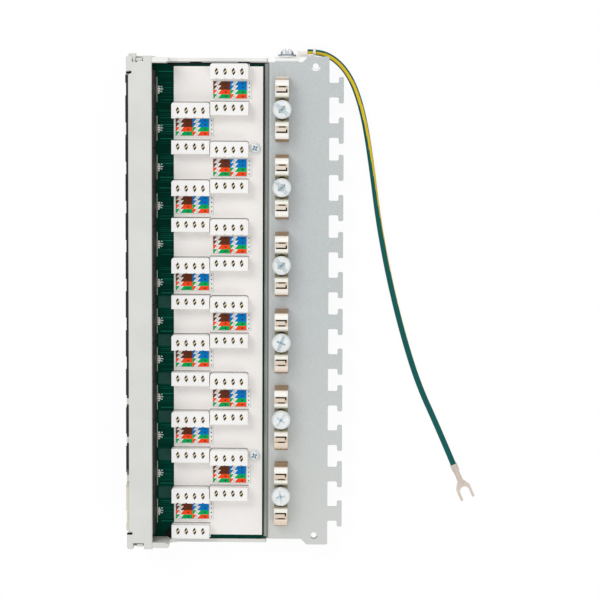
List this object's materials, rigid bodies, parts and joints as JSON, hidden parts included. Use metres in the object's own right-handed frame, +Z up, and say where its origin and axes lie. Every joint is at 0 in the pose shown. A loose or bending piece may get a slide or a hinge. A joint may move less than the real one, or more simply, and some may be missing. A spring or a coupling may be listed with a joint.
{
  "type": "patch panel",
  "caption": "Compact shielded copper patch panel with its cover off: jack row, colour-coded wiring strips, cable clamps and an earth lead.",
  "frame": {"origin": "middle of the flat underside that the panel rests on, halfway along its length", "axes": "+X along the row of jacks away from the earth lug, -Y out of the jacks, +Z up"},
  "size_m": [0.2587, 0.1813, 0.0275],
  "materials": {
    "galvanised_sheet": "galvanised, fine spangle",
    "housing_plastic": "light grey, fine grain",
    "board": "dark green solder mask",
    "plate_plastic": "off-white",
    "jack_plastic": "black",
    "shield_metal": "bright nickel",
    "contact_metal": "plated",
    "strip_plastic": "white",
    "card": "colour fields",
    "clamp_metal": "yellowish passivated spring sheet",
    "zinc_screw": "zinc plated",
    "brass_pillar": "turned",
    "tinned_terminal": "tinned copper",
    "wire_insulation": "green with a yellow stripe"
  },
  "bodies": {
    "root": {"cable_clamp_1": "clamp_metal", "cable_clamp_2": "clamp_metal", "cable_clamp_3": "clamp_metal", "cable_clamp_4": "clamp_metal", "cable_clamp_5": "clamp_metal", "cable_clamp_6": "clamp_metal", "chassis": "galvanised_sheet", "circuit_board": "board", "clamp_screws": "zinc_screw", "colour_cards": "card", "cover_plate": "plate_plastic", "earth_screw": "zinc_screw", "earth_washer": "zinc_screw", "earth_wire": "wire_insulation", "fork_terminal": "tinned_terminal", "front_housing": "housing_plastic", "front_shield": "shield_metal", "jack_01": "jack_plastic", "jack_02": "jack_plastic", "jack_03": "jack_plastic", "jack_04": "jack_plastic", "jack_05": "jack_plastic", "jack_06": "jack_plastic", "jack_07": "jack_plastic", "jack_08": "jack_plastic", "jack_09": "jack_plastic", "jack_10": "jack_plastic", "jack_11": "jack_plastic", "jack_12": "jack_plastic", "jack_contacts": "contact_metal", "plate_screws": "zinc_screw", "ring_terminal": "tinned_terminal", "standoffs": "brass_pillar", "strip_01_lower": "strip_plastic", "strip_01_upper": "strip_plastic", "strip_02_lower": "strip_plastic", "strip_02_upper": "strip_plastic", "strip_03_lower": "strip_plastic", "strip_03_upper": "strip_plastic", "strip_04_lower": "strip_plastic", "strip_04_upper": "strip_plastic", "strip_05_lower": "strip_plastic", "strip_05_upper": "strip_plastic", "strip_06_lower": "strip_plastic", "strip_06_upper": "strip_plastic", "strip_07_lower": "strip_plastic", "strip_07_upper": "strip_plastic", "strip_08_lower": "strip_plastic", "strip_08_upper": "strip_plastic", "strip_09_lower": "strip_plastic", "strip_09_upper": "strip_plastic", "strip_10_lower": "strip_plastic", "strip_10_upper": "strip_plastic", "strip_11_lower": "strip_plastic", "strip_11_upper": "strip_plastic", "strip_12_lower": "strip_plastic", "strip_12_upper": "strip_plastic", "strip_contacts": "contact_metal"}
  },
  "joints": []
}
